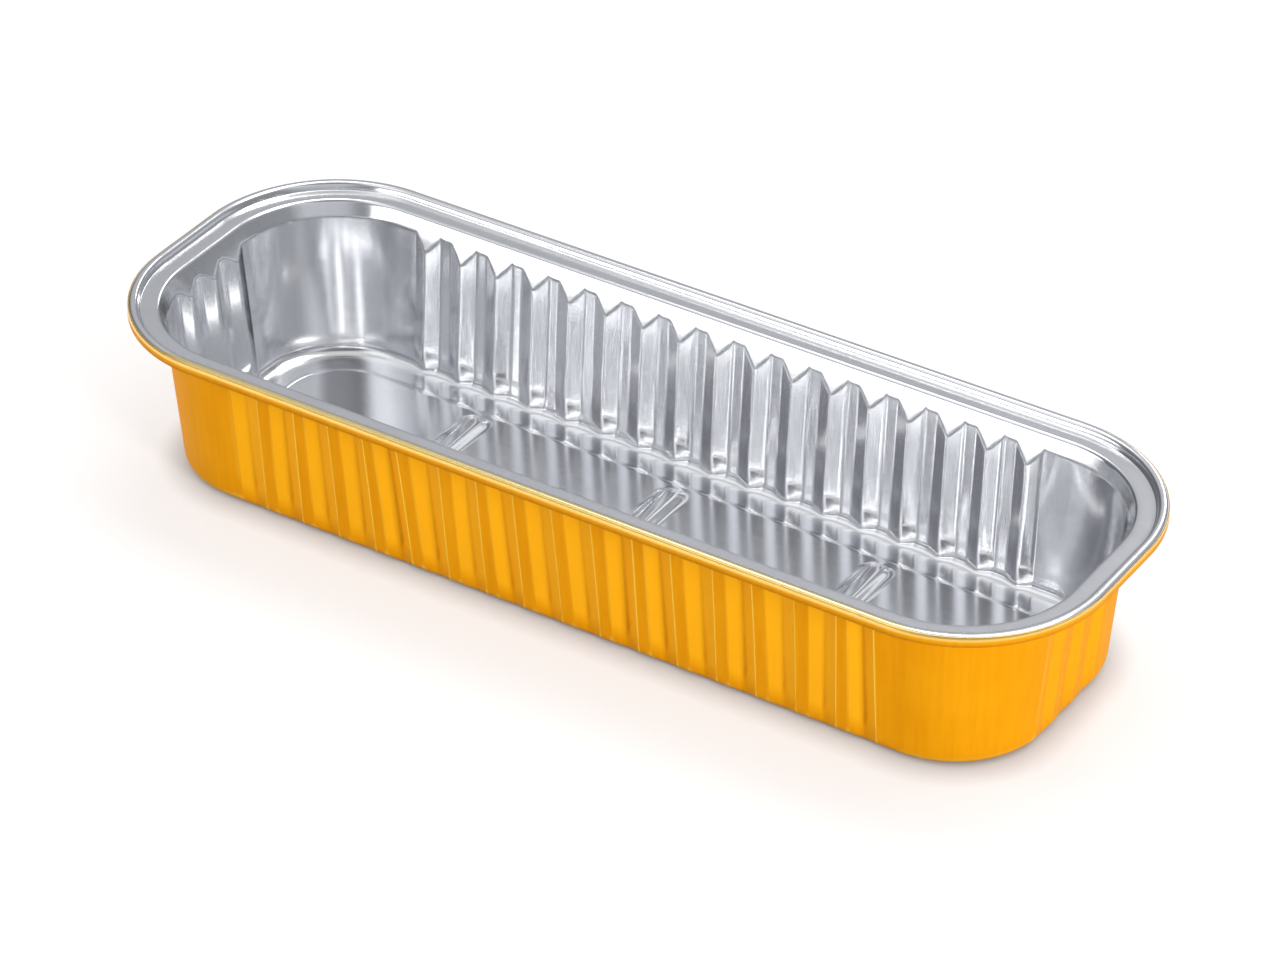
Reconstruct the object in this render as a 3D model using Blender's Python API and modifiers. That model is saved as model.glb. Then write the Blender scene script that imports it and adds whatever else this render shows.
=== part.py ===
# Oblong foil food container: one pressed aluminium tray with a gold lacquer coat on its outside.
# Units are metres, +Z is up, the origin is the middle of the footprint at the base.
# Both pieces are lofted from one cross-section, a list of (inset, height) points in the rim's outline.
import math

import bmesh
import bpy
from mathutils import Vector

MM = 0.001

# Outline of the rim and the bias that makes the body's ends lean in more than its sides
HALF_LENGTH = 132.5 * MM
HALF_WIDTH = 47.7 * MM
CORNER_RADIUS = 36.8 * MM
END_BIAS = 0.85 * MM

# The two layers and the gap between them
FOIL_THICKNESS = 0.2 * MM
LAYER_CLEARANCE = 0.25 * MM
LACQUER_THICKNESS = 0.1 * MM
LACQUER_OFFSET = FOIL_THICKNESS + LAYER_CLEARANCE
STACK = LACQUER_OFFSET + LACQUER_THICKNESS

# Rim: raised bead with a turned-down hem, flat sealing land, roll into the wall
RIM_TOP = 45.0 * MM
HEM_DROP = 2.4 * MM
BEAD_OUTER_RADIUS = 1.0 * MM
BEAD_CROWN = 0.55 * MM
BEAD_INNER_RADIUS = 0.9 * MM
BEAD_FALL = math.radians(20)
LAND_DROP = 1.9 * MM
LAND_CHAMFER = 0.32 * MM
ROLL_INSET = 7.2 * MM
ROLL_RADIUS = 0.9 * MM
BAND_TILT = math.radians(24)
BAND_DROP = 5.8 * MM
LACQUER_LIP = 0.9 * MM
ARC_STEPS = 3

# Wall and base
WALL_DRAFT = math.radians(4.5)
BASE_FILLET = 2.9 * MM
# The fillet narrows by more than a rib stands in, so that the base keeps an even edge seen from the side.
BASE_EVENNESS = 0.24
PANEL_INSET = 20.6 * MM
PANEL_STEP_WIDTH = 1.1 * MM
PANEL_RISE = 0.45 * MM
FLOOR_HEIGHT = STACK
LAND_HEIGHT = RIM_TOP - LAND_DROP

# Pressed ribs of the walls, counted from the middle of a side
SIDE_RIB_COUNT = 17
SIDE_RIB_MARGIN = 5.3 * MM
END_RIB_COUNT = 3
END_RIB_PITCH = 9.5 * MM
END_RIB_SHIFT = -3.0 * MM
RIB_DEPTH = 1.5 * MM
RIB_HALF_WIDTH = 3.7 * MM
SIDE_STRAIGHT = HALF_LENGTH - END_BIAS - CORNER_RADIUS
SIDE_RIB_PITCH = 2 * (SIDE_STRAIGHT - SIDE_RIB_MARGIN - RIB_HALF_WIDTH) / (SIDE_RIB_COUNT - 1)
RIB_CREST_HALF = 0.3 * MM
RIB_RAMP = RIB_DEPTH / (math.tan(BAND_TILT) - math.tan(WALL_DRAFT))

# Raised bars of the floor panel
BAR_COUNT = 3
BAR_PITCH = 58.2 * MM
BAR_SHIFT = -3.4 * MM
BAR_HALF_WIDTH = 4.5 * MM
BAR_MARGIN = 0.85 * MM
BAR_REACH = HALF_WIDTH + END_BIAS - PANEL_INSET - PANEL_STEP_WIDTH - BAR_MARGIN
BAR_RISE = 1.2 * MM
BAR_FLANK = 2.6 * MM
BAR_STEPS = 3
BAR_ARC_STEPS = 6

# Looks
SILVER_COLOUR = (0.80, 0.81, 0.84)
SILVER_ROUGHNESS = 0.18
GOLD_COLOUR = (0.95, 0.50, 0.04)
GOLD_ROUGHNESS = 0.24

# How finely the sheets are laid out, and the tolerances of the mesh work
CORNER_STEPS = 8
FLAT_ANGLE = math.radians(0.2)
WELD = 0.002 * MM
SHARP_ANGLE = math.radians(14)


def new_collection(name):
    collection = bpy.data.collections.new(name)
    bpy.context.scene.collection.children.link(collection)
    return collection


def new_material(name, colour, roughness):
    material = bpy.data.materials.new(name)
    material.use_nodes = True
    shader = material.node_tree.nodes["Principled BSDF"]
    shader.inputs["Base Color"].default_value = (*colour, 1.0)
    shader.inputs["Roughness"].default_value = roughness
    shader.inputs["Metallic"].default_value = 1.0
    return material


def arc(centre, radius, start, end, steps=ARC_STEPS):
    """Points of an arc in the (inset, height) plane, angles from +inset towards +height."""
    points = []
    for step in range(steps + 1):
        angle = start + (end - start) * step / steps
        points.append((centre[0] + radius * math.cos(angle), centre[1] + radius * math.sin(angle)))
    return points


def shifted(points, offset):
    """The polyline moved to its underside by the offset, with mitred corners."""
    moved = []
    for index, point in enumerate(points):
        here = Vector(point)
        before = Vector(points[max(index - 1, 0)])
        after = Vector(points[min(index + 1, len(points) - 1)])
        sides = []
        for run in (here - before, after - here):
            if run.length > 0:
                sides.append(Vector((run.y, -run.x)).normalized())
        mitre = sum(sides, Vector((0, 0))).normalized()
        moved.append(here + mitre * (offset / mitre.dot(sides[0])))
    return moved


def rim_section():
    """From the hem's tip over the bead and the land to the top of the wall, on the silver side."""
    hem = LACQUER_THICKNESS + LAYER_CLEARANCE
    outer = (hem + BEAD_OUTER_RADIUS, RIM_TOP - BEAD_OUTER_RADIUS)
    inner = (outer[0] + BEAD_CROWN, RIM_TOP - BEAD_INNER_RADIUS)
    roll = (ROLL_INSET, LAND_HEIGHT - ROLL_RADIUS)
    points = [(hem, RIM_TOP - HEM_DROP)]
    points += arc(outer, BEAD_OUTER_RADIUS, math.pi, math.pi / 2)
    points += arc(inner, BEAD_INNER_RADIUS, math.pi / 2, BEAD_FALL)
    fall = points[-1][1] - LAND_HEIGHT - LAND_CHAMFER
    foot = points[-1][0] + fall * math.tan(BEAD_FALL)
    points.append((foot, LAND_HEIGHT + LAND_CHAMFER))
    points.append((foot + LAND_CHAMFER, LAND_HEIGHT))
    points += arc(roll, ROLL_RADIUS, math.pi / 2, BAND_TILT)
    return points


def wall_inset(height):
    """Inset of the smooth wall's silver side at a height below the flared band."""
    band_inset = ROLL_INSET + ROLL_RADIUS * math.cos(BAND_TILT)
    band_height = LAND_HEIGHT - ROLL_RADIUS + ROLL_RADIUS * math.sin(BAND_TILT)
    flare = (band_height - RIM_TOP + BAND_DROP) * math.tan(BAND_TILT)
    return band_inset + flare + (RIM_TOP - BAND_DROP - height) * math.tan(WALL_DRAFT)


def body_section(rib, offset):
    """From the band's foot to the panel, for a rib share from 0 to 1. Ribs take a narrower fillet."""
    beside = offset / math.cos(WALL_DRAFT)
    push = RIB_DEPTH * rib - beside
    fillet_turn = math.tan(math.pi / 4 - WALL_DRAFT / 2)
    radius = BASE_FILLET - RIB_DEPTH * rib / (fillet_turn - BASE_EVENNESS) + offset
    floor = FLOOR_HEIGHT - offset
    centre = (wall_inset(floor) + push + radius * fillet_turn, floor + radius)
    band = RIM_TOP - BAND_DROP - offset * math.tan((BAND_TILT + WALL_DRAFT) / 2)
    full = RIM_TOP - BAND_DROP - RIB_RAMP
    points = [(wall_inset(band) - beside, band), (wall_inset(full) + push, full)]
    points += arc(centre, radius, math.pi + WALL_DRAFT, 1.5 * math.pi)
    step_turn = math.atan2(PANEL_RISE, PANEL_STEP_WIDTH) / 2
    mitre = offset * math.tan(step_turn)
    points.append((PANEL_INSET + mitre, floor))
    points.append((PANEL_INSET + PANEL_STEP_WIDTH + mitre, floor + PANEL_RISE))
    return points


def outline_sizes(inset):
    """Half length, half width and corner radius of the outline at an inset from the rim's edge."""
    lean = (inset - ROLL_INSET) / (wall_inset(0.0) - ROLL_INSET)
    bias = END_BIAS * min(max(lean, 0.0), 1.0)
    return HALF_LENGTH - inset - bias, HALF_WIDTH - inset + bias, CORNER_RADIUS - inset


def rib_stations(count, pitch, shift):
    """(distance along the side, rib share) of each fold, from the low end to the high end."""
    stations = []
    for index in range(count):
        middle = (index - (count - 1) / 2) * pitch + shift
        stations.append((middle - RIB_HALF_WIDTH, 0.0))
        stations.append((middle - RIB_CREST_HALF, 1.0))
        stations.append((middle + RIB_CREST_HALF, 1.0))
        stations.append((middle + RIB_HALF_WIDTH, 0.0))
    return stations


SIDE_STATIONS = rib_stations(SIDE_RIB_COUNT, SIDE_RIB_PITCH, 0.0)
END_STATIONS = rib_stations(END_RIB_COUNT, END_RIB_PITCH, END_RIB_SHIFT)


def ring_stations():
    """The outline's stations in order, as (part, sign, value, rib share)."""
    stations = []
    for sign in (1, -1):
        run = END_STATIONS if sign > 0 else END_STATIONS[::-1]
        stations += [("end", sign, value, share) for value, share in run]
        steps = range(0, CORNER_STEPS + 1)
        stations += [("corner", (sign, sign), step / CORNER_STEPS, 0.0) for step in steps]
        run = SIDE_STATIONS[::-1] if sign > 0 else SIDE_STATIONS
        stations += [("side", sign, value, share) for value, share in run]
        stations += [("corner", (-sign, sign), 1 - step / CORNER_STEPS, 0.0) for step in steps]
    return stations


def end_angle(y_sign, straight, radius):
    """Corner angle that the end's last rib already takes on this side."""
    last = max(y_sign * value for value, share in END_STATIONS)
    return max(last - straight, 0.0) / radius


def outline_point(station, inset):
    """Plan position of a station on the outline at an inset."""
    part, sign, value, _ = station
    half_length, half_width, radius = outline_sizes(inset)
    centre_x = half_length - radius
    centre_y = half_width - radius
    if part == "side":
        return value, sign * half_width
    if part == "end" and abs(value) <= centre_y:
        return sign * half_length, value
    if part == "end":
        x_sign, y_sign = sign, math.copysign(1, value)
        angle = (abs(value) - centre_y) / radius
    else:
        x_sign, y_sign = sign
        start = end_angle(y_sign, centre_y, radius)
        angle = start + (math.pi / 2 - start) * value
    return x_sign * (centre_x + radius * math.cos(angle)), y_sign * (centre_y + radius * math.sin(angle))


def pressed_shell(bm, sections, stations):
    """A primitive grid laid round the outline, one row for each section point, closed into a ring."""
    columns = len(stations)
    rows = len(sections[0])
    grid = bmesh.ops.create_grid(bm, x_segments=columns, y_segments=rows - 1, size=1.0)["verts"]
    lattice = {}
    for vert in grid:
        column = round((vert.co.x + 1) / 2 * columns)
        row = round((1 - vert.co.y) / 2 * (rows - 1))
        station = stations[column % columns]
        inset, height = sections[station[3] > 0][row]
        vert.co = (*outline_point(station, inset), height)
        lattice[column, row] = vert
    return lattice


def fold_tips(bm, lattice, stations, row):
    """Splits each rib's flanks at its top so that the fold runs from the band's foot to the crest."""
    columns = len(stations)
    for column in range(columns):
        share = stations[column][3]
        next_share = stations[(column + 1) % columns][3]
        if share < next_share:
            pair = [lattice[column, row], lattice[column + 1, row + 1]]
        elif share > next_share:
            pair = [lattice[column + 1, row], lattice[column, row + 1]]
        else:
            continue
        bmesh.ops.connect_verts(bm, verts=pair)


def bar_loop(middle, narrowing):
    """Capsule outline of a floor bar at a distance in from its foot."""
    radius = BAR_HALF_WIDTH - narrowing
    straight = BAR_REACH - BAR_HALF_WIDTH
    loop = []
    for sign in (1, -1):
        for step in range(BAR_ARC_STEPS + 1):
            angle = math.pi * step / BAR_ARC_STEPS
            x = middle + sign * radius * math.cos(angle)
            loop.append((x, sign * (straight + radius * math.sin(angle))))
    return loop


def bar_section(panel, offset):
    """(distance in, height) points up a bar's flank."""
    points = []
    for step in range(BAR_STEPS + 1):
        share = step / BAR_STEPS
        rise = BAR_RISE * (1 - math.cos(math.pi * share)) / 2
        points.append((BAR_FLANK * share, FLOOR_HEIGHT + PANEL_RISE + rise))
    moved = [tuple(point) for point in shifted(points, offset)]
    return [(moved[0][0], panel)] + moved[1:-1] + [(moved[-1][0], panel + BAR_RISE)]


def raise_bar(bm, middle, section):
    """Sweeps a bar's flank round its capsule and closes the top."""
    loops = []
    for narrowing, height in section:
        loops.append([bm.verts.new((x, y, height)) for x, y in bar_loop(middle, narrowing)])
    for lower, upper in zip(loops, loops[1:]):
        size = len(lower)
        for index in range(size):
            follow = (index + 1) % size
            bm.faces.new((lower[index], lower[follow], upper[follow], upper[index]))
    bm.faces.new(loops[-1])


def open_edges(bm, height):
    """Boundary edges that lie at a height: the panel's rim and the feet of the bars."""
    found = []
    for edge in bm.edges:
        if edge.is_boundary and all(abs(vert.co.z - height) < WELD for vert in edge.verts):
            found.append(edge)
    return found


def merge_flats(bm):
    """Joins coplanar faces of the rim and the band, where the stations of the ribs add nothing."""
    foot = RIM_TOP - BAND_DROP - WELD
    verts = [vert for vert in bm.verts if vert.co.z > foot]
    edges = [edge for edge in bm.edges if min(vert.co.z for vert in edge.verts) > foot + 2 * WELD]
    bmesh.ops.dissolve_limit(bm, angle_limit=FLAT_ANGLE, verts=verts, edges=edges)


def tray_surface(name, rim, offset):
    """Open sheet of the whole tray, its faces turned to the silver side."""
    stations = ring_stations()
    sections = [rim + body_section(share, offset) for share in (0.0, 1.0)]
    bm = bmesh.new()
    lattice = pressed_shell(bm, sections, stations)
    fold_tips(bm, lattice, stations, len(rim))
    panel = sections[0][-1][1]
    flank = bar_section(panel, offset)
    for index in range(BAR_COUNT):
        middle = (index - (BAR_COUNT - 1) / 2) * BAR_PITCH + BAR_SHIFT
        raise_bar(bm, middle, flank)
    bmesh.ops.remove_doubles(bm, verts=bm.verts, dist=WELD)
    bmesh.ops.triangle_fill(bm, edges=open_edges(bm, panel), use_beauty=True)
    bmesh.ops.recalc_face_normals(bm, faces=bm.faces)
    lowest = min(bm.faces, key=lambda face: face.calc_center_median().z)
    if lowest.normal.z < 0:
        bmesh.ops.reverse_faces(bm, faces=bm.faces)
    merge_flats(bm)
    mesh = bpy.data.meshes.new(name)
    bm.to_mesh(mesh)
    bm.free()
    return mesh


def add_piece(name, mesh, thickness, material, collection):
    piece = bpy.data.objects.new(name, mesh)
    collection.objects.link(piece)
    mesh.materials.append(material)
    solidify = piece.modifiers.new("thickness", "SOLIDIFY")
    solidify.thickness = thickness
    solidify.offset = -1.0
    solidify.use_even_offset = True
    solidify.use_quality_normals = True
    mesh.shade_smooth()
    mesh.set_sharp_from_angle(angle=SHARP_ANGLE)
    return piece


def lacquer_rim():
    """The underside of the rim, led round the hem's tip and up its outer face."""
    lip_inset = LACQUER_THICKNESS
    tip = RIM_TOP - HEM_DROP - LAYER_CLEARANCE
    rim = [tuple(point) for point in shifted(rim_section(), LACQUER_OFFSET)]
    wrap = [(lip_inset, RIM_TOP - LACQUER_LIP), (lip_inset, tip), (rim[0][0], tip)]
    return wrap + rim[1:]


def build():
    for obj in list(bpy.data.objects):
        bpy.data.objects.remove(obj, do_unlink=True)
    collection = new_collection("Foil_Container")
    silver = new_material("bare_aluminium", SILVER_COLOUR, SILVER_ROUGHNESS)
    gold = new_material("gold_lacquer", GOLD_COLOUR, GOLD_ROUGHNESS)
    foil = tray_surface("foil_tray", rim_section(), 0.0)
    coat = tray_surface("gold_lacquer_coat", lacquer_rim(), LACQUER_OFFSET)
    add_piece("foil_tray", foil, FOIL_THICKNESS, silver, collection)
    add_piece("gold_lacquer_coat", coat, LACQUER_THICKNESS, gold, collection)


build()
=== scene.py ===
# Looks for the foil container: the pressed foil tray and its gold lacquer, in a plain pale studio.
# Units are metres in the frame of the CAD model: +X along the tray, +Z up, origin under its middle.
import math
import bmesh
import bpy
import numpy as np
from mathutils import Matrix, Vector


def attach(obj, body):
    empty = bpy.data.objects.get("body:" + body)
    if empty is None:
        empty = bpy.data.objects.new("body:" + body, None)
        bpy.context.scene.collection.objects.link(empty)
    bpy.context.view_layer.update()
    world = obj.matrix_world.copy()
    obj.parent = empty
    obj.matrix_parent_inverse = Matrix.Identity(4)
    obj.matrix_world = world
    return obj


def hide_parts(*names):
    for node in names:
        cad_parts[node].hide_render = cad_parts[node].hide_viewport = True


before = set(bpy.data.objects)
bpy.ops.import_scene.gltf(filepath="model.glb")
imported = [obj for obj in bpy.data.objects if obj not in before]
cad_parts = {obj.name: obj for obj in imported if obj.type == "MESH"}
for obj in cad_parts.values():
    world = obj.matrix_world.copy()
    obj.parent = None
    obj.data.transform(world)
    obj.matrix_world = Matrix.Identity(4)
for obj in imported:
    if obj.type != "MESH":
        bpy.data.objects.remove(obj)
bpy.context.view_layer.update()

MM = 0.001

# Dimensions that the part's source has too
HALF_LENGTH = 132.5 * MM
HALF_WIDTH = 47.7 * MM
CORNER_RADIUS = 36.8 * MM
END_BIAS = 0.85 * MM
FOIL_THICKNESS = 0.2 * MM
LAYER_CLEARANCE = 0.25 * MM
LACQUER_THICKNESS = 0.1 * MM
LACQUER_OFFSET = FOIL_THICKNESS + LAYER_CLEARANCE
RIM_TOP = 45.0 * MM
HEM_DROP = 2.4 * MM
BEAD_OUTER_RADIUS = 1.0 * MM
BEAD_CROWN = 0.55 * MM
BEAD_INNER_RADIUS = 0.9 * MM
BEAD_FALL = math.radians(20)
LAND_DROP = 1.9 * MM
LAND_CHAMFER = 0.32 * MM
LAND_HEIGHT = RIM_TOP - LAND_DROP
ROLL_INSET = 7.2 * MM
ROLL_RADIUS = 0.9 * MM
WALL_DRAFT = math.radians(4.5)
BAND_TILT = math.radians(24)
BAND_DROP = 5.8 * MM
BASE_FILLET = 2.9 * MM
BASE_EVENNESS = 0.24
PANEL_INSET = 20.6 * MM
PANEL_STEP_WIDTH = 1.1 * MM
PANEL_RISE = 0.45 * MM
FLOOR_HEIGHT = LACQUER_OFFSET + LACQUER_THICKNESS
SIDE_RIB_COUNT = 17
SIDE_RIB_MARGIN = 5.3 * MM
END_RIB_COUNT = 3
END_RIB_PITCH = 9.5 * MM
END_RIB_SHIFT = -3.0 * MM
RIB_DEPTH = 1.5 * MM
RIB_HALF_WIDTH = 3.7 * MM
RIB_CREST_HALF = 0.3 * MM
SIDE_STRAIGHT = HALF_LENGTH - END_BIAS - CORNER_RADIUS
SIDE_RIB_PITCH = 2 * (SIDE_STRAIGHT - SIDE_RIB_MARGIN - RIB_HALF_WIDTH) / (SIDE_RIB_COUNT - 1)
BAR_COUNT = 3
BAR_PITCH = 58.2 * MM
BAR_SHIFT = -3.4 * MM
BAR_HALF_WIDTH = 4.5 * MM
BAR_MARGIN = 0.85 * MM
BAR_REACH = HALF_WIDTH + END_BIAS - PANEL_INSET - PANEL_STEP_WIDTH - BAR_MARGIN
BAR_RISE = 1.2 * MM

# Bars have rounder tops here than in the source
BAR_FLANK = 3.7 * MM

# The lacquer's lip stands higher on the bead in front than at the back
LIP_TURN_FRONT = math.radians(132)
LIP_TURN_BACK = math.radians(158)
LIP_CLEARANCE = 0.06 * MM
LIP_RISE_START = 0.2
LIP_RISE_SPAN = 0.6
LIP_FOOT_SHARE = 0.6

# How finely the sheet is laid out. A fold is a distance from a rib's crest over the rib's half width.
HALF_RIB_FOLDS = (0.05, 0.13, 0.24, 0.36, 0.48, 0.6, 0.72, 0.84, 0.93, 1.0)
RIB_FOLDS = tuple(-fold for fold in reversed(HALF_RIB_FOLDS)) + HALF_RIB_FOLDS + (1.06, 1.12)
FLAT_FOLD = 2.0
FOLD_SOFTNESS = 0.1 * MM
FLAT_SOFTNESS = 0.12 * MM
GAP_COLUMNS = 4
CORNER_COLUMNS = 44
ARC_ROWS = 6
CHAMFER_ROWS = 4
SKIRT_ROWS = 3
LAND_ROWS = 5
RAMP_ROWS = 26
RAMP_FOOT = 34.2 * MM
WALL_ROWS = 26
FILLET_ROWS = 9
RING_ROWS = 5
STEP_ROWS = 5
PANEL_ROWS = 34
WELD = 0.002 * MM
TINY = 1e-12
TINY_REACH = 1e-9

# Uneven ribs: their depth, the share left at the ends and at the foot, and the pinch beside each
RIB_UNEVEN = 0.2
BACK_UNEVEN = 0.05
UNEVEN_SHORT = 7 * MM
UNEVEN_LONG = 19 * MM
UNEVEN_SHIFT = 2.1
END_RIB_SHARE = 0.65
FOOT_SHARE = 0.6
FOOT_HEIGHT = 6.0 * MM
PINCH_HEIGHT = 0.12 * MM
PINCH_PLACE = 1.0
PINCH_HALF = 0.12

# Slant of the front wall's ribs
RIB_LEAN = 1.8 * MM
LEAN_BIAS = -0.8 * MM
LEAN_SIZE = 32.0 * MM
LEAN_FOOT = 4 * MM
LEAN_RISE = 32 * MM
LEAN_END_FADE = 4 * MM
LEAN_FRONT_FADE = 10 * MM

# Drawn wrinkles in the corners
WRINKLE_HEIGHT = 0.025 * MM
WRINKLE_COUNT = 22
WRINKLE_FOOT = 3 * MM
WRINKLE_FOOT_FADE = 8 * MM
WRINKLE_HEAD = 3 * MM
WRINKLE_HEAD_FADE = 3 * MM
WRINKLE_DRIFT_SIZE = 60 * MM
WRINKLE_DRIFT = 2.6
WRINKLE_EVEN = 0.6
WRINKLE_BEAT = 23
WRINKLE_BEAT_DRIFT = 3
WRINKLE_AT_FOOT = 0.35

# Shallow dents
DENT_HEIGHT = 0.008 * MM
DENT_SIZE = 17.0 * MM
DENT_HEAD = 6 * MM
DENT_HEAD_FADE = 8 * MM
DENT_FLOOR_FADE = 0.4 * MM

# Seeded noise
RANDOM_SEED = 11
WAVES_PER_OCTAVE = 5
OCTAVE_WEIGHT = 0.6
OCTAVE_STEP = 1.6

# The mesh value that tells the lacquer where the ribs' flanks are, for the painted light on them
RIB_LIGHT_MARK = "painted_rib_light_mask"
RIB_MARK_EDGE = 0.07
END_RIB_MARK = 0.4

# Both metals: noise scales per metre, how they mix, and where the tints lie
CLOUD_SCALE = 45.0
PIT_SCALE = 1400.0
ROLLED_SCALES = (25.0, 900.0, 900.0)
DRAWN_SCALES = (700.0, 700.0, 18.0)
DRAWN_SHARE = 0.45
CLOUD_SHARE = 0.55
TINT_PLACES = (0.35, 0.65)
ROLLED_RANGE = (0.3, 0.7)
# Pointiness ranges of the painted highlight on outward folds and the painted shade in inward creases
FOLD_LIGHT_AND_SHADE_REACH = ((0.512, 0.528), (0.492, 0.46))
WALL_HEAD = (RIM_TOP - BAND_DROP, RIM_TOP - BAND_DROP + 1.5 * MM)
# Heights where the painted light on the rib flanks fades in, and its share
RIB_LIGHT_RISE = (3 * MM, 7 * MM)
RIB_LIGHT_SHARE = 0.85
# Heights of the hem, where the colour gets a painted highlight and the shader turns fully metallic with
# its coat
ON_HEM = (RIM_TOP - 0.6 * HEM_DROP, RIM_TOP - 0.35 * HEM_DROP)
FRONT_EDGE = (1.5 * MM - HALF_WIDTH, 2.4 * MM - HALF_WIDTH)
CLOUD_BUMP = (0.12 * MM, 0.05)
ROLLED_BUMP = (0.01 * MM, 0.05)
PIT_BUMP = (0.005 * MM, 0.06)
COAT_ROUGHNESS = 0.1

# Each metal's tints: in cloud and lines, a painted highlight on sharp folds out and painted shade in sharp
# folds in, painted light on rib flanks, a painted highlight on the hem, and the front edge
SILVER_FINISH = {
    "tints": ((0.88, 0.885, 0.90), (0.94, 0.945, 0.955)),
    "folds": ((0.98, 0.98, 0.985), (0.72, 0.725, 0.74)),
    "rib": None,
    "hem": (0.96, 0.96, 0.97),
    "front": (1.0, 0.80, 0.36),
    "roughness": (0.14, 0.18),
    "metallic": 1.0,
    "hem_coat": 0.0,
}
GOLD_FINISH = {
    "tints": ((0.80, 0.31, 0.003), (0.88, 0.37, 0.006)),
    "folds": ((1.0, 0.68, 0.09), (0.62, 0.21, 0.002)),
    "rib": (1.0, 0.47, 0.012),
    "hem": (1.0, 0.64, 0.14),
    "front": None,
    "roughness": (0.34, 0.44),
    "metallic": 0.3,
    "hem_coat": 1.0,
}

# Colour sockets of the Mix node, which has others of the same names
MIX_FIRST = 6
MIX_SECOND = 7
MIX_RESULT = 2

# Camera fitted to the photograph, in half lengths of the tray about the middle of the rim
VIEW_AZIMUTH = math.radians(32.87)
VIEW_ELEVATION = math.radians(34.65)
VIEW_ROLL = math.radians(-0.04)
VIEW_DISTANCE = 9.134
VIEW_RIGHT = 0.0119
VIEW_UP = -0.156
VIEW_LENS = 144.3
SENSOR_WIDTH = 36.0

# Floor, and how far round the tray its painted contact shadow reaches
FLOOR_HALF_SIZE = 6.0
FLOOR_SINK = 0.2 * MM
FLOOR_COLOUR = (0.40, 0.395, 0.39)
FLOOR_ROUGHNESS = 0.75
FLOOR_SPECULAR = 0.1
FLOOR_LIFT = 0.6
CONTACT_REACH = 8.0 * MM

# Soft lights: name, place, size, power in watts, and whether mirrors show it
LIGHT_TARGET = (0.0, 0.0, 0.02)
PANEL_LIGHTS = (
    ("overhead", (0.1, 0.55, 1.45), (1.8, 0.6), 11.0, True),
    ("back_strip", (-0.21, 1.21, 0.86), (0.16, 0.7), 2.2, True),
    ("front_left", (-0.75, -1.3, 0.2), (1.3, 0.2), 2.6, True),
    ("front_right", (1.42, -0.52, 0.42), (0.4, 0.5), 21.0, False),
    ("left_fill", (-1.3, -0.5, 0.4), (0.5, 0.5), 8.0, False),
)

# Sky by height, then shades that multiply it by how closely a direction follows each axis
WORLD_STOPS = (
    (0.0, (0.20, 0.21, 0.22)),
    (0.35, (0.30, 0.31, 0.33)),
    (0.62, (0.48, 0.49, 0.52)),
    (0.8, (0.58, 0.59, 0.61)),
    (1.0, (0.70, 0.70, 0.70)),
)
PLAIN = (1.0, 1.0, 1.0)
DARK_SIDE = (-0.98, -0.2, 0.0)
DARK_PATCH = (0.374, -0.586, 0.719)
BRIGHT_SIDE = (0.62, -0.70, 0.35)
GLOW = (-0.39, -0.60, 0.69)
SKY_SHADES = (
    (DARK_SIDE, ((0.0, PLAIN), (0.45, PLAIN), (0.75, (0.5, 0.5, 0.52)), (1.0, (0.4, 0.4, 0.42)))),
    (DARK_PATCH, ((0.0, PLAIN), (0.90, PLAIN), (0.965, (0.3, 0.3, 0.31)))),
    (BRIGHT_SIDE, ((0.0, PLAIN), (0.84, PLAIN), (0.95, (1.9, 1.9, 1.9)))),
    (GLOW, ((0.0, PLAIN), (0.87, PLAIN), (0.95, (1.75, 1.75, 1.75)))),
)


def arc(centre, radius, start, end, steps=ARC_ROWS):
    """Points of an arc in the (inset, height) plane, angles from +inset towards +height."""
    angles = np.linspace(start, end, steps + 1)
    return np.column_stack((centre[0] + radius * np.cos(angles), centre[1] + radius * np.sin(angles)))


def between(first, last, steps):
    """Points from first to last, both left out."""
    shares = np.linspace(0.0, 1.0, steps + 1)[1:-1, None]
    return np.asarray(first) * (1 - shares) + np.asarray(last) * shares


def rim_section():
    """From the hem's tip over the bead and the land to the top of the wall, on the silver side."""
    hem = LACQUER_THICKNESS + LAYER_CLEARANCE
    outer = (hem + BEAD_OUTER_RADIUS, RIM_TOP - BEAD_OUTER_RADIUS)
    inner = (outer[0] + BEAD_CROWN, RIM_TOP - BEAD_INNER_RADIUS)
    roll = (ROLL_INSET, LAND_HEIGHT - ROLL_RADIUS)
    bead_out = arc(outer, BEAD_OUTER_RADIUS, math.pi, math.pi / 2)
    bead_in = arc(inner, BEAD_INNER_RADIUS, math.pi / 2, BEAD_FALL)
    tip = (hem, RIM_TOP - HEM_DROP)
    fall = bead_in[-1][1] - LAND_HEIGHT - LAND_CHAMFER
    foot = bead_in[-1][0] + fall * math.tan(BEAD_FALL)
    hollow = (foot + LAND_CHAMFER, LAND_HEIGHT + LAND_CHAMFER)
    chamfer = arc(hollow, LAND_CHAMFER, math.pi, 1.5 * math.pi, CHAMFER_ROWS)
    roll_arc = arc(roll, ROLL_RADIUS, math.pi / 2, BAND_TILT)
    land = between(chamfer[-1], roll_arc[0], LAND_ROWS)
    skirt = between(tip, bead_out[0], SKIRT_ROWS)
    return np.vstack(([tip], skirt, bead_out, bead_in, chamfer, land, roll_arc))


def band_inset(height):
    """Inset of the flared band's plane, carried on down below its foot."""
    top_height = LAND_HEIGHT - ROLL_RADIUS + ROLL_RADIUS * math.sin(BAND_TILT)
    return ROLL_INSET + ROLL_RADIUS * math.cos(BAND_TILT) + (top_height - height) * math.tan(BAND_TILT)


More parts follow.
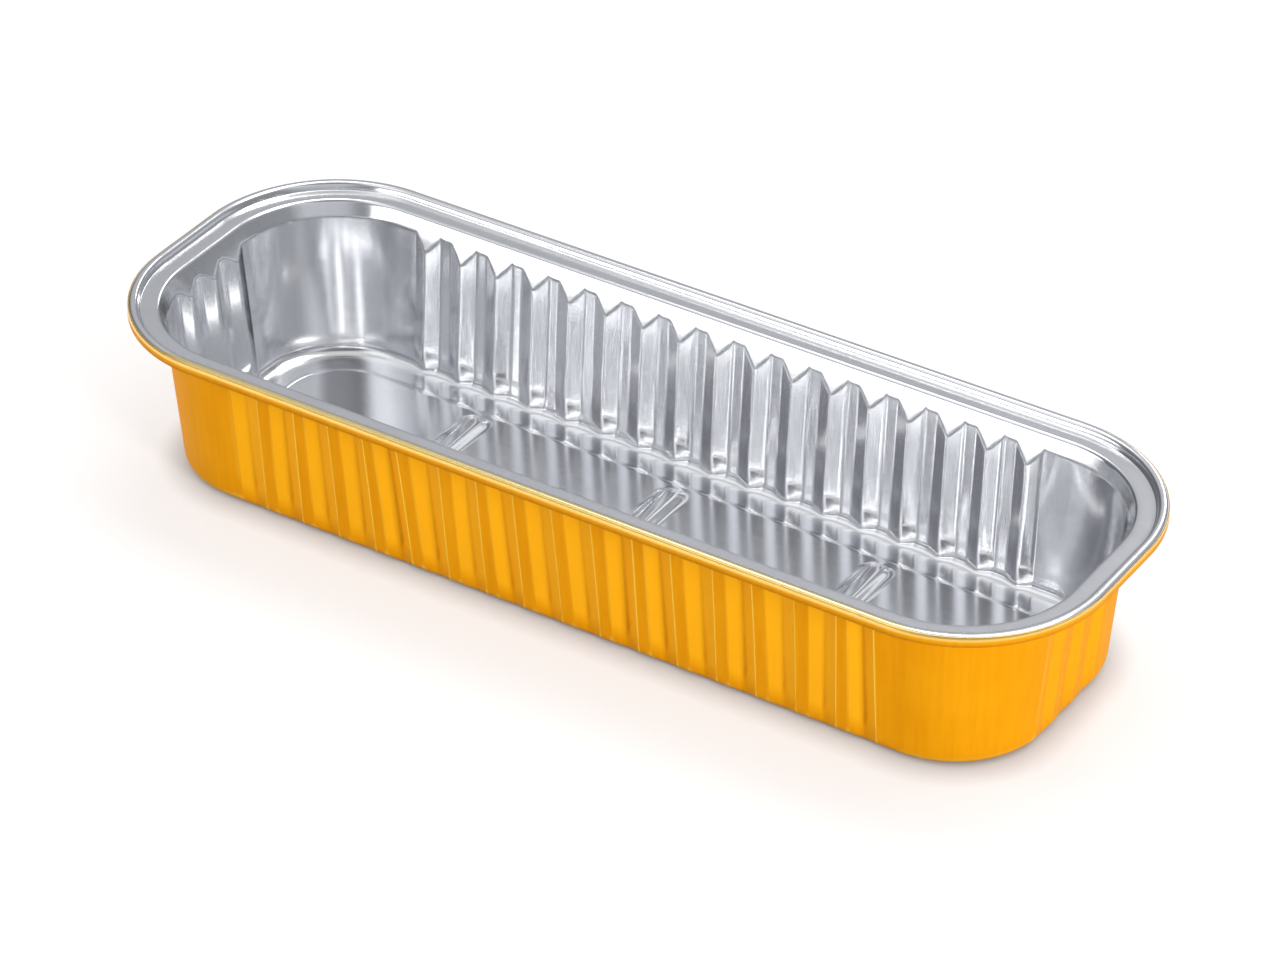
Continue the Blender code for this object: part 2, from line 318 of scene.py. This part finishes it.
def wall_inset(height):
    """Inset of the smooth wall's plane, carried on up above the band's foot."""
    foot = RIM_TOP - BAND_DROP
    return band_inset(foot) + (foot - height) * math.tan(WALL_DRAFT)


def soft_least(first, second, softness):
    """The lesser of two values, rounded off where they cross."""
    gap = np.clip(0.5 + 0.5 * (second - first) / softness, 0.0, 1.0)
    return second * (1 - gap) + first * gap - softness * gap * (1 - gap)


def rib_press(fold, pinched):
    """How far a rib stands in at a fold, less the small pinch outward at its edge."""
    flank = (1 - np.abs(fold)) * RIB_HALF_WIDTH / (RIB_HALF_WIDTH - RIB_CREST_HALF) * RIB_DEPTH
    flank = np.maximum(soft_least(flank, RIB_DEPTH, FOLD_SOFTNESS), 0.0)
    pinch = pinched * PINCH_HEIGHT * np.maximum(1 - ((fold - PINCH_PLACE) / PINCH_HALF) ** 2, 0.0)
    return flank - pinch


def rib_gain(station):
    """Each rib comes out of the press a little deeper or shallower than the next."""
    part, sign, value, _ = station
    if part != "side":
        return END_RIB_SHARE
    uneven = RIB_UNEVEN if sign < 0 else BACK_UNEVEN
    wave = math.sin(value / UNEVEN_SHORT + UNEVEN_SHIFT * sign) * math.cos(value / UNEVEN_LONG + sign)
    return 1 + uneven * wave


def fillet_section(at_foot):
    """The fillet between wall and floor, narrower where a rib meets it."""
    fillet_turn = math.tan(math.pi / 4 - WALL_DRAFT / 2)
    radius = BASE_FILLET - at_foot / (fillet_turn - BASE_EVENNESS)
    centre = (wall_inset(FLOOR_HEIGHT) + at_foot + radius * fillet_turn, FLOOR_HEIGHT + radius)
    return arc(centre, radius, math.pi + WALL_DRAFT, 1.5 * math.pi, FILLET_ROWS)


def wall_section(full, bottom):
    """The band and the wall down to a height, with a rib of the given depth."""
    top = rim_section()[-1][1]
    upper = np.linspace(top, RAMP_FOOT, RAMP_ROWS + 1)[1:]
    heights = np.concatenate((upper, np.linspace(RAMP_FOOT, bottom, WALL_ROWS + 1)[1:-1]))
    foot = np.clip((heights - bottom) / FOOT_HEIGHT, 0.0, 1.0)
    depth = full * (FOOT_SHARE + (1 - FOOT_SHARE) * foot * foot * (3 - 2 * foot))
    flat = 1 - min(full / RIB_DEPTH, 1.0)
    softness = FOLD_SOFTNESS + (FLAT_SOFTNESS - FOLD_SOFTNESS) * flat
    insets = soft_least(wall_inset(heights) + depth, band_inset(heights), softness)
    return np.column_stack((insets, heights))


def body_section(station, press):
    """(inset, height) rows from under the roll to the panel's edge, for one station."""
    pinched = 1.0 if station[0] == "side" else 0.0
    full = rib_gain(station) * press * float(rib_press(station[3], pinched))
    fillet = fillet_section(FOOT_SHARE * full)
    wall = wall_section(full, fillet[0][1])
    ring = between(fillet[-1], (PANEL_INSET, FLOOR_HEIGHT), RING_ROWS)
    shares = np.linspace(0.0, 1.0, STEP_ROWS + 1)
    rise = PANEL_RISE * (1 - np.cos(math.pi * shares)) / 2
    step = np.column_stack((PANEL_INSET + PANEL_STEP_WIDTH * shares, FLOOR_HEIGHT + rise))
    return np.vstack((wall, fillet, ring, step))


def outline_sizes(inset):
    """Half length, half width and corner radius of the outline at an inset from the rim's edge."""
    lean = (inset - ROLL_INSET) / (wall_inset(0.0) - ROLL_INSET)
    bias = END_BIAS * np.clip(lean, 0.0, 1.0)
    return HALF_LENGTH - inset - bias, HALF_WIDTH - inset + bias, CORNER_RADIUS - inset


def rib_stations(count, pitch, shift):
    """(distance along the side, fold) from the low end to the high end."""
    stations = []
    for index in range(count):
        middle = (index - (count - 1) / 2) * pitch + shift
        stations += [(middle + fold * RIB_HALF_WIDTH, fold) for fold in RIB_FOLDS]
        if index < count - 1:
            gap = pitch - (1 + RIB_FOLDS[-1]) * RIB_HALF_WIDTH
            start = middle + RIB_FOLDS[-1] * RIB_HALF_WIDTH
            stations += [(start + gap * step / GAP_COLUMNS, FLAT_FOLD) for step in range(1, GAP_COLUMNS)]
    return stations


SIDE_STATIONS = rib_stations(SIDE_RIB_COUNT, SIDE_RIB_PITCH, 0.0)
END_STATIONS = rib_stations(END_RIB_COUNT, END_RIB_PITCH, END_RIB_SHIFT)


def ring_stations():
    """The outline's stations in order, as (part, sign, value, fold)."""
    stations = []
    for sign in (1, -1):
        run = END_STATIONS if sign > 0 else END_STATIONS[::-1]
        stations += [("end", sign, value, fold) for value, fold in run]
        steps = range(1, CORNER_COLUMNS + 1)
        stations += [("corner", (sign, sign), step / CORNER_COLUMNS, FLAT_FOLD) for step in steps]
        run = SIDE_STATIONS[::-1] if sign > 0 else SIDE_STATIONS
        stations += [("side", sign, value, fold) for value, fold in run]
        steps = range(CORNER_COLUMNS, 0, -1)
        stations += [("corner", (-sign, sign), step / CORNER_COLUMNS, FLAT_FOLD) for step in steps]
    return stations


def end_angle(y_sign, straight, radius):
    """Corner angle that the end's last rib already takes on this side."""
    last = max(y_sign * value for value, _ in END_STATIONS)
    return np.maximum(last - straight, 0.0) / radius


def outline_points(station, inset):
    """Plan positions of a station on the outlines at a row of insets."""
    part, sign, value, _ = station
    half_length, half_width, radius = outline_sizes(inset)
    centre_x = half_length - radius
    centre_y = half_width - radius
    if part == "side":
        return np.full_like(inset, value), sign * half_width
    if part == "end":
        x_sign, y_sign = sign, math.copysign(1, value)
        along = np.minimum(abs(value), centre_y)
        angle = np.maximum(abs(value) - centre_y, 0.0) / radius
        return x_sign * (centre_x + radius * np.cos(angle)), y_sign * (along + radius * np.sin(angle))
    x_sign, y_sign = sign
    start = end_angle(y_sign, centre_y, radius)
    angle = start + (math.pi / 2 - start) * value
    return x_sign * (centre_x + radius * np.cos(angle)), y_sign * (centre_y + radius * np.sin(angle))


def bar_height(x, y):
    """Rise of the floor's bars at plan positions."""
    height = np.zeros_like(x)
    straight = BAR_REACH - BAR_HALF_WIDTH
    for index in range(BAR_COUNT):
        middle = (index - (BAR_COUNT - 1) / 2) * BAR_PITCH + BAR_SHIFT
        beyond = np.maximum(np.abs(y) - straight, 0.0)
        inside = BAR_HALF_WIDTH - np.hypot(x - middle, beyond)
        share = np.clip(inside / BAR_FLANK, 0.0, 1.0)
        height += BAR_RISE * (1 - np.cos(math.pi * share)) / 2
    return height


def panel_points(edge):
    """Points on the flat panel, from a point on its edge to the floor's middle line."""
    spine = HALF_LENGTH - HALF_WIDTH - END_BIAS * 2
    middle_x = min(max(edge[0], -spine), spine)
    shares = np.linspace(0.0, 1.0, PANEL_ROWS + 1)[1:]
    x = edge[0] + (middle_x - edge[0]) * shares
    y = edge[1] * (1 - shares)
    return np.column_stack((x, y, np.full_like(x, edge[2])))


def sheet_points(press=1.0):
    """(rows, columns, 3) points of the silver side, from the hem's tip to the floor's middle line."""
    rim = rim_section()
    columns = []
    for station in ring_stations():
        section = np.vstack((rim, body_section(station, press)))
        x, y = outline_points(station, section[:, 0])
        column = np.column_stack((x, y, section[:, 1]))
        columns.append(np.vstack((column, panel_points(column[-1]))))
    points = np.stack(columns, axis=1)
    floor = points[:, :, 2] < FLOOR_HEIGHT + PANEL_RISE + WELD
    points[:, :, 2] += np.where(floor, bar_height(points[:, :, 0], points[:, :, 1]), 0.0)
    return points


def wave_noise(points, size, seed, octaves=3):
    """Smooth seeded noise between about -1 and 1, summed from crossing waves."""
    chance = np.random.default_rng(seed)
    total = np.zeros(points.shape[:-1])
    weight_sum = 0.0
    for octave in range(octaves):
        weight = OCTAVE_WEIGHT ** octave
        for _ in range(WAVES_PER_OCTAVE):
            direction = chance.normal(size=3)
            direction *= 2 * math.pi / (np.linalg.norm(direction) * size) * (OCTAVE_STEP ** octave)
            phase = chance.uniform(0, 2 * math.pi)
            total += weight * np.sin(points @ direction + phase)
            weight_sum += weight * 0.5
    return total / weight_sum


def sheet_normals(points):
    """Unit normals of the grid, turned to the silver side."""
    along = np.roll(points, -1, axis=1) - np.roll(points, 1, axis=1)
    down = np.gradient(points, axis=0)
    normals = np.cross(along, down)
    lengths = np.linalg.norm(normals, axis=2, keepdims=True)
    normals = normals / np.maximum(lengths, TINY)
    normals[lengths[:, :, 0] < TINY] = (0.0, 0.0, 1.0)
    return normals


def corner_share(points):
    """1 in the middle of each round corner, fading to 0 where its straights begin, and the turn there."""
    centre_x = HALF_LENGTH - CORNER_RADIUS
    centre_y = HALF_WIDTH - CORNER_RADIUS
    across = np.maximum(np.abs(points[:, :, 0]) - centre_x, 0.0)
    beside = np.maximum(np.abs(points[:, :, 1]) - centre_y, 0.0)
    turn = np.arctan2(beside, across + TINY_REACH)
    inside = (across > 0) & (beside > 0)
    return np.where(inside, np.sin(2 * turn) ** 2, 0.0), turn


def lean_ribs(points):
    """The front wall's ribs slanted along the wall, each straight and by its own amount."""
    upright = np.clip((points[:, :, 2] - LEAN_FOOT) / LEAN_RISE, 0.0, 1.0)
    on_side = np.clip((SIDE_STRAIGHT - np.abs(points[:, :, 0])) / LEAN_END_FADE, 0.0, 1.0)
    on_side *= np.clip(-points[:, :, 1] / LEAN_FRONT_FADE, 0.0, 1.0)
    ground = points.copy()
    ground[:, :, 2] = 0.0
    lean = LEAN_BIAS + RIB_LEAN * wave_noise(ground, LEAN_SIZE, RANDOM_SEED + 2, 2)
    slanted = points.copy()
    slanted[:, :, 0] += lean * upright * on_side
    return slanted


def corner_wrinkles(points):
    """Height of the wrinkles that drawing leaves in the corners' walls."""
    height = points[:, :, 2]
    share, turn = corner_share(points)
    wall = np.clip((height - WRINKLE_FOOT) / WRINKLE_FOOT_FADE, 0.0, 1.0)
    wall *= np.clip((RIM_TOP - WRINKLE_HEAD - height) / WRINKLE_HEAD_FADE, 0.0, 1.0)
    phase = wave_noise(points, WRINKLE_DRIFT_SIZE, RANDOM_SEED, 2)
    beat = WRINKLE_EVEN + (1 - WRINKLE_EVEN) * np.sin(turn * WRINKLE_BEAT + WRINKLE_BEAT_DRIFT * phase)
    folds = np.sin(turn * 4 * WRINKLE_COUNT + WRINKLE_DRIFT * phase) * beat
    growth = WRINKLE_AT_FOOT + (1 - WRINKLE_AT_FOOT) * np.clip(height / RIM_TOP, 0.0, 1.0)
    return WRINKLE_HEIGHT * folds * share * wall * growth


def shallow_dents(points):
    """Height of the dents that handling leaves in the walls and the floor."""
    height = points[:, :, 2]
    dents = DENT_HEIGHT * wave_noise(points, DENT_SIZE, RANDOM_SEED + 1)
    below_rim = np.clip((RIM_TOP - DENT_HEAD - height) / DENT_HEAD_FADE, 0.0, 1.0)
    off_ring = np.clip((height - FLOOR_HEIGHT) / DENT_FLOOR_FADE, 0.0, 1.0)
    return dents * below_rim * off_ring


def crumple(points):
    """Adds what the press and handling leave."""
    points = lean_ribs(points)
    heights = corner_wrinkles(points) + shallow_dents(points)
    return points + sheet_normals(points) * heights[:, :, None]


def rib_marks():
    """One value for each station: 0 between ribs and in the corners, up to 1 on a rib's flanks."""
    stations = ring_stations()
    folds = np.array([station[3] for station in stations])
    strength = np.array([END_RIB_MARK if station[0] == "end" else 1.0 for station in stations])
    return strength * np.clip((1 - np.abs(folds)) / RIB_MARK_EDGE, 0.0, 1.0)


def sheet_mesh(name, points):
    """A mesh from a grid that closes round the outline, welded along the floor's middle line."""
    rows, columns = points.shape[:2]
    index = np.arange(rows * columns).reshape(rows, columns)
    follow = np.roll(index, -1, axis=1)
    faces = np.stack((index[:-1], follow[:-1], follow[1:], index[1:]), axis=2).reshape(-1, 4)
    mesh = bpy.data.meshes.new(name)
    mesh.from_pydata(points.reshape(-1, 3).tolist(), [], faces[:, ::-1].tolist())
    painted_rib_light_mask = mesh.attributes.new(RIB_LIGHT_MARK, "FLOAT", "POINT")
    painted_rib_light_mask.data.foreach_set("value", np.tile(rib_marks(), rows))
    bm = bmesh.new()
    bm.from_mesh(mesh)
    bmesh.ops.remove_doubles(bm, verts=bm.verts, dist=WELD)
    bmesh.ops.recalc_face_normals(bm, faces=bm.faces)
    lowest = min(bm.faces, key=lambda face: face.calc_center_median().z)
    if lowest.normal.z < 0:
        bmesh.ops.reverse_faces(bm, faces=bm.faces)
    bm.to_mesh(mesh)
    bm.free()
    return mesh


def foil_layer(name, points, thickness, node, material):
    """One layer of the tray as a closed thin shell that stands for its CAD node."""
    mesh = sheet_mesh(name, points)
    piece = bpy.data.objects.new(name, mesh)
    bpy.context.scene.collection.objects.link(piece)
    mesh.materials.append(material)
    mesh.shade_smooth()
    solidify = piece.modifiers.new("thickness", "SOLIDIFY")
    solidify.thickness = thickness
    solidify.offset = -1.0
    solidify.use_even_offset = False
    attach(piece, "root")
    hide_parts(node)


def lacquer_points(points, normals):
    """The silver side moved under the foil, with the lip led round the hem's tip and up its outer face."""
    under = points - normals * LACQUER_OFFSET
    hem = LACQUER_THICKNESS + LAYER_CLEARANCE
    lip = hem - LIP_CLEARANCE
    tip = RIM_TOP - HEM_DROP - LAYER_CLEARANCE
    bead = (hem + BEAD_OUTER_RADIUS, RIM_TOP - BEAD_OUTER_RADIUS)
    foot = [(lip, RIM_TOP - LIP_FOOT_SHARE * HEM_DROP), (lip, tip), (hem + LACQUER_OFFSET, tip)]
    columns = []
    for station in ring_stations():
        _, y = outline_points(station, np.zeros(1))
        share = np.clip((-float(y[0]) / HALF_WIDTH - LIP_RISE_START) / LIP_RISE_SPAN, 0.0, 1.0)
        turn = LIP_TURN_BACK + (LIP_TURN_FRONT - LIP_TURN_BACK) * share
        shoulder = arc(bead, BEAD_OUTER_RADIUS + LIP_CLEARANCE, turn, math.pi).tolist()
        wrap = np.array(shoulder + foot)
        x, y = outline_points(station, wrap[:, 0])
        columns.append(np.column_stack((x, y, wrap[:, 1])))
    return np.concatenate((np.stack(columns, axis=1), under[1:]), axis=0)


def new_material(name):
    """A material's nodes, links and main shader, with the material itself."""
    material = bpy.data.materials.new(name)
    material.use_nodes = True
    nodes = material.node_tree.nodes
    return material, nodes, material.node_tree.links, nodes["Principled BSDF"]


def add_node(nodes, kind, **settings):
    """A new node with its settings."""
    node = nodes.new(kind)
    for key, value in settings.items():
        setattr(node, key, value)
    return node


def add_ramp(nodes, links, source, stops):
    """The colour that a ramp gives for a value, from (position, colour) stops."""
    ramp = add_node(nodes, "ShaderNodeValToRGB")
    elements = ramp.color_ramp.elements
    for index, (position, colour) in enumerate(stops):
        element = elements[index] if index < 2 else elements.new(position)
        element.position = position
        element.color = (*colour, 1.0)
    links.new(source, ramp.inputs["Fac"])
    return ramp.outputs["Color"]


def add_noise(nodes, links, vector, scale, detail, roughness):
    """Noise at a vector."""
    noise = add_node(nodes, "ShaderNodeTexNoise")
    noise.inputs["Scale"].default_value = scale
    noise.inputs["Detail"].default_value = detail
    noise.inputs["Roughness"].default_value = roughness
    links.new(vector, noise.inputs["Vector"])
    return noise.outputs["Fac"]


def add_stretch(nodes, links, vector, scale):
    """A vector scaled by its own amount along each axis."""
    mapping = add_node(nodes, "ShaderNodeMapping")
    mapping.inputs["Scale"].default_value = scale
    links.new(vector, mapping.inputs["Vector"])
    return mapping.outputs["Vector"]


def add_range(nodes, links, value, source, target):
    """A value moved from one range to another, held at its ends."""
    moved = add_node(nodes, "ShaderNodeMapRange")
    moved.inputs["From Min"].default_value = source[0]
    moved.inputs["From Max"].default_value = source[1]
    moved.inputs["To Min"].default_value = target[0]
    moved.inputs["To Max"].default_value = target[1]
    links.new(value, moved.inputs["Value"])
    return moved.outputs["Result"]


def add_math(nodes, links, operation, *terms):
    """The result of a Math node on sockets and plain numbers."""
    result = add_node(nodes, "ShaderNodeMath", operation=operation)
    for socket, term in zip(result.inputs, terms):
        if isinstance(term, float):
            socket.default_value = term
        else:
            links.new(term, socket)
    return result.outputs["Value"]


def add_tint(nodes, links, share, colour, tint):
    """A colour mixed towards a fixed tint by a share."""
    mixed = add_node(nodes, "ShaderNodeMix", data_type="RGBA")
    links.new(share, mixed.inputs["Factor"])
    links.new(colour, mixed.inputs[MIX_FIRST])
    mixed.inputs[MIX_SECOND].default_value = (*tint, 1.0)
    return mixed.outputs[MIX_RESULT]


def add_bump(nodes, links, height, bump_size, normal=None):
    """A bump's normal, on top of another one if there is one."""
    distance, strength = bump_size
    bump = add_node(nodes, "ShaderNodeBump")
    bump.inputs["Strength"].default_value = strength
    bump.inputs["Distance"].default_value = distance
    links.new(height, bump.inputs["Height"])
    if normal is not None:
        links.new(normal, bump.inputs["Normal"])
    return bump.outputs["Normal"]


def metal_noises(nodes, links, place):
    """Cloudiness, lines along the rolling direction, lines along the drawn walls, and pits."""
    cloud = add_noise(nodes, links, place, CLOUD_SCALE, 4.0, 0.55)
    rolled = add_noise(nodes, links, add_stretch(nodes, links, place, ROLLED_SCALES), 1.0, 4.0, 0.6)
    drawn = add_noise(nodes, links, add_stretch(nodes, links, place, DRAWN_SCALES), 1.0, 3.0, 0.55)
    pits = add_noise(nodes, links, place, PIT_SCALE, 2.0, 0.5)
    return cloud, rolled, drawn, pits


def metal_colour(nodes, links, finish, cloud, drawn):
    """Two tints mixed by cloudiness and drawn lines."""
    clouded = add_math(nodes, links, "MULTIPLY", cloud, CLOUD_SHARE)
    blend = add_math(nodes, links, "MULTIPLY_ADD", drawn, DRAWN_SHARE, clouded)
    return add_ramp(nodes, links, blend, list(zip(TINT_PLACES, finish["tints"])))


def paint_wall_light_and_shade(nodes, links, finish, colour, height):
    """Adds painted light on the rib flanks, a painted highlight on outward folds and painted shade in
    inward creases, all kept on the wall.
    """
    on_wall = add_range(nodes, links, height, WALL_HEAD, (1.0, 0.0))
    # Painted light: the rib flanks are coloured lighter than the flats between them
    if finish["rib"]:
        rib_light_mask = add_node(nodes, "ShaderNodeAttribute", attribute_name=RIB_LIGHT_MARK).outputs["Fac"]
        above_foot = add_range(nodes, links, height, RIB_LIGHT_RISE, (0.0, RIB_LIGHT_SHARE))
        painted_rib_light = add_math(nodes, links, "MULTIPLY", rib_light_mask, above_foot)
        painted_rib_light = add_math(nodes, links, "MULTIPLY", painted_rib_light, on_wall)
        colour = add_tint(nodes, links, painted_rib_light, colour, finish["rib"])
    # Painted highlight on outward folds and painted shade in inward creases, found by pointiness
    sharp = add_node(nodes, "ShaderNodeNewGeometry").outputs["Pointiness"]
    for reach, tint in zip(FOLD_LIGHT_AND_SHADE_REACH, finish["folds"]):
        painted_fold_light_and_shade = add_range(nodes, links, sharp, reach, (0.0, 1.0))
        painted_fold_light_and_shade = add_math(nodes, links, "MULTIPLY", painted_fold_light_and_shade, on_wall)
        colour = add_tint(nodes, links, painted_fold_light_and_shade, colour, tint)
    return colour


def set_by_hem(nodes, links, socket, on_hem, elsewhere, there):
    """Sets a shader value that differs on the hem, or plainly where it is the same all over."""
    if elsewhere == there:
        socket.default_value = there
    else:
        links.new(add_range(nodes, links, on_hem, (0.0, 1.0), (elsewhere, there)), socket)


def foil_material(name, finish):
    """Thin metal with cloudiness, fine lines and pits, painted light on rib flanks where the finish has
    it, painted highlights on outward folds and painted shade in inward creases, and a fully metallic hem
    with a painted highlight.
    """
    material, nodes, links, shader = new_material(name)
    place = add_node(nodes, "ShaderNodeTexCoord").outputs["Object"]
    split = add_node(nodes, "ShaderNodeSeparateXYZ")
    links.new(place, split.inputs["Vector"])
    cloud, rolled, drawn, pits = metal_noises(nodes, links, place)
    colour = metal_colour(nodes, links, finish, cloud, drawn)
    colour = paint_wall_light_and_shade(nodes, links, finish, colour, split.outputs["Z"])
    on_hem = add_range(nodes, links, split.outputs["Z"], ON_HEM, (0.0, 1.0))
    # Painted highlight: the upper hem is coloured paler
    colour = add_tint(nodes, links, on_hem, colour, finish["hem"])
    if finish["front"]:
        in_front = add_range(nodes, links, split.outputs["Y"], FRONT_EDGE, (1.0, 0.0))
        colour = add_tint(nodes, links, in_front, colour, finish["front"])
    links.new(colour, shader.inputs["Base Color"])
    rough = add_range(nodes, links, rolled, ROLLED_RANGE, finish["roughness"])
    links.new(rough, shader.inputs["Roughness"])
    normal = add_bump(nodes, links, cloud, CLOUD_BUMP)
    normal = add_bump(nodes, links, rolled, ROLLED_BUMP, normal)
    normal = add_bump(nodes, links, pits, PIT_BUMP, normal)
    links.new(normal, shader.inputs["Normal"])
    set_by_hem(nodes, links, shader.inputs["Metallic"], on_hem, finish["metallic"], 1.0)
    set_by_hem(nodes, links, shader.inputs["Coat Weight"], on_hem, 0.0, finish["hem_coat"])
    shader.inputs["Coat Roughness"].default_value = COAT_ROUGHNESS
    shader.inputs["Specular IOR Level"].default_value = 0.0
    return material


def build_tray():
    """Both layers of the tray."""
    silver = foil_material("bare_foil", SILVER_FINISH)
    gold = foil_material("lacquered_foil", GOLD_FINISH)
    points = crumple(sheet_points())
    foil_layer("pressed_foil", points, FOIL_THICKNESS, "foil_tray", silver)
    smooth_wall = sheet_normals(sheet_points(0.0))
    coat = lacquer_points(points, smooth_wall)
    foil_layer("gold_lacquer", coat, LACQUER_THICKNESS, "gold_lacquer_coat", gold)


def view_axes():
    """The camera's right, up and backward directions."""
    back = Vector((math.sin(VIEW_AZIMUTH) * math.cos(VIEW_ELEVATION),
                   -math.cos(VIEW_AZIMUTH) * math.cos(VIEW_ELEVATION),
                   math.sin(VIEW_ELEVATION)))
    level = Vector((math.cos(VIEW_AZIMUTH), math.sin(VIEW_AZIMUTH), 0.0))
    upright = back.cross(level)
    right = level * math.cos(VIEW_ROLL) + upright * math.sin(VIEW_ROLL)
    up = upright * math.cos(VIEW_ROLL) - level * math.sin(VIEW_ROLL)
    return right, up, back


def add_camera():
    """The camera at the photograph's place."""
    right, up, back = view_axes()
    data = bpy.data.cameras.new("camera")
    data.sensor_width = SENSOR_WIDTH
    data.lens = VIEW_LENS
    camera = bpy.data.objects.new("camera", data)
    place = (back * VIEW_DISTANCE + right * VIEW_RIGHT + up * VIEW_UP) * HALF_LENGTH
    place.z += RIM_TOP
    turn = Matrix((right, up, back)).transposed().to_4x4()
    camera.matrix_world = Matrix.Translation(place) @ turn
    bpy.context.scene.collection.objects.link(camera)
    bpy.context.scene.camera = camera


def add_panel_light(name, place, size, power, mirrored):
    """A soft box that faces the tray. One that isn't mirrored adds soft light alone."""
    data = bpy.data.lights.new(name, "AREA")
    data.shape = "RECTANGLE"
    data.size, data.size_y = size
    data.energy = power
    light = bpy.data.objects.new(name, data)
    direction = Vector(place) - Vector(LIGHT_TARGET)
    light.matrix_world = Matrix.Translation(place) @ direction.to_track_quat("Z", "Y").to_matrix().to_4x4()
    light.visible_camera = False
    light.visible_glossy = mirrored
    bpy.context.scene.collection.objects.link(light)


def seen_directly(nodes, links):
    """1 for what the camera sees itself, in a mirror or through glass, otherwise 0."""
    path = add_node(nodes, "ShaderNodeLightPath")
    total = path.outputs["Is Camera Ray"]
    for kind in ("Is Glossy Ray", "Is Transmission Ray"):
        total = add_math(nodes, links, "MAXIMUM", total, path.outputs[kind])
    return total


def floor_material():
    """Pale floor, lifted to white where it is seen directly, with a painted contact shadow: the lift fades
    where the tray stands close.
    """
    material, nodes, links, shader = new_material("pale_floor")
    shader.inputs["Base Color"].default_value = (*FLOOR_COLOUR, 1.0)
    shader.inputs["Roughness"].default_value = FLOOR_ROUGHNESS
    shader.inputs["Specular IOR Level"].default_value = FLOOR_SPECULAR
    shader.inputs["Emission Color"].default_value = (1.0, 1.0, 1.0, 1.0)
    # Painted contact shadow: ambient occlusion dims the white lift near the tray
    painted_contact_shadow = add_node(nodes, "ShaderNodeAmbientOcclusion")
    painted_contact_shadow.inputs["Distance"].default_value = CONTACT_REACH
    lift = add_math(nodes, links, "MULTIPLY", seen_directly(nodes, links), FLOOR_LIFT)
    lift = add_math(nodes, links, "MULTIPLY", lift, painted_contact_shadow.outputs["AO"])
    links.new(lift, shader.inputs["Emission Strength"])
    return material


def add_floor():
    """Wide floor that keeps the object's shadow, just under the tray."""
    bm = bmesh.new()
    bmesh.ops.create_grid(bm, x_segments=1, y_segments=1, size=FLOOR_HALF_SIZE)
    mesh = bpy.data.meshes.new("floor")
    bm.to_mesh(mesh)
    bm.free()
    floor = bpy.data.objects.new("floor", mesh)
    floor.location.z = -FLOOR_SINK
    bpy.context.scene.collection.objects.link(floor)
    mesh.materials.append(floor_material())


def add_world():
    """Studio surround: paler overhead, with a dark side, a dark patch, a bright side and a glow."""
    world = bpy.data.worlds.new("studio")
    bpy.context.scene.world = world
    world.use_nodes = True
    nodes, links = world.node_tree.nodes, world.node_tree.links
    direction = add_node(nodes, "ShaderNodeTexCoord").outputs["Generated"]
    split = add_node(nodes, "ShaderNodeSeparateXYZ")
    links.new(direction, split.inputs["Vector"])
    colour = add_ramp(nodes, links, split.outputs["Z"], WORLD_STOPS)
    for axis, stops in SKY_SHADES:
        facing = add_node(nodes, "ShaderNodeVectorMath", operation="DOT_PRODUCT")
        links.new(direction, facing.inputs[0])
        facing.inputs[1].default_value = axis
        mixed = add_node(nodes, "ShaderNodeMix", data_type="RGBA", blend_type="MULTIPLY")
        mixed.inputs["Factor"].default_value = 1.0
        links.new(colour, mixed.inputs[MIX_FIRST])
        links.new(add_ramp(nodes, links, facing.outputs["Value"], stops), mixed.inputs[MIX_SECOND])
        colour = mixed.outputs[MIX_RESULT]
    links.new(colour, nodes["Background"].inputs["Color"])


add_camera()
build_tray()
add_floor()
add_world()
for panel in PANEL_LIGHTS:
    add_panel_light(*panel)
bpy.context.scene.view_settings.view_transform = "Standard"
